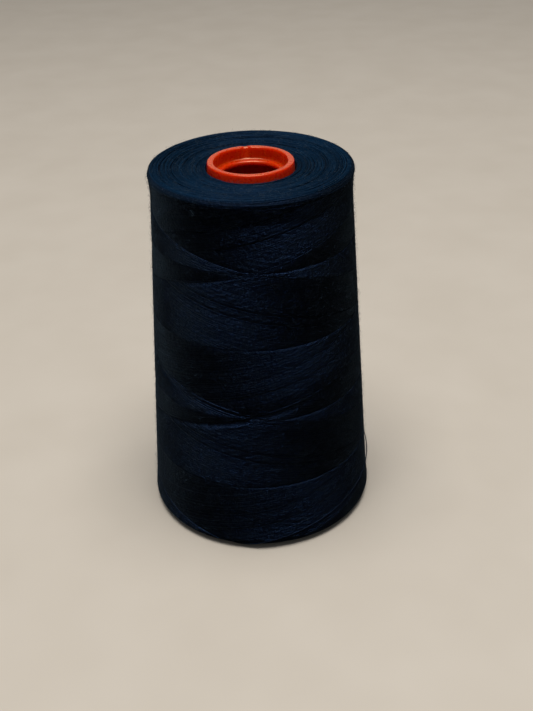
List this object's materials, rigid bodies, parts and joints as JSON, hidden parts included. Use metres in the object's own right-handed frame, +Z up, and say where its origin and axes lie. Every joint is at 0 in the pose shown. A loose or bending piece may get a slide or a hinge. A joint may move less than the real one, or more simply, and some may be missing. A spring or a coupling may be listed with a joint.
{
  "type": "cone of sewing thread",
  "caption": "Cone of dark navy sewing thread cross-wound on a slightly tapered orange plastic core with a stepped bore; it stands on its base.",
  "frame": {"origin": "centre of the core's base, on the plane that the cone stands on", "axes": "+Z up along the cone's axis from the wide base to the narrow top; -Y towards the front that the picture shows; +X to the right seen from the front"},
  "size_m": [0.0707, 0.0712, 0.1129],
  "materials": {
    "core_plastic": "satin moulded orange plastic",
    "wound_thread": "fine dark navy cotton thread, cross-wound, with a soft directional sheen",
    "loose_thread": "the same thread, a single strand"
  },
  "bodies": {
    "root": {"core": "core_plastic", "thread_package": "wound_thread", "thread_end": "loose_thread"}
  },
  "joints": []
}
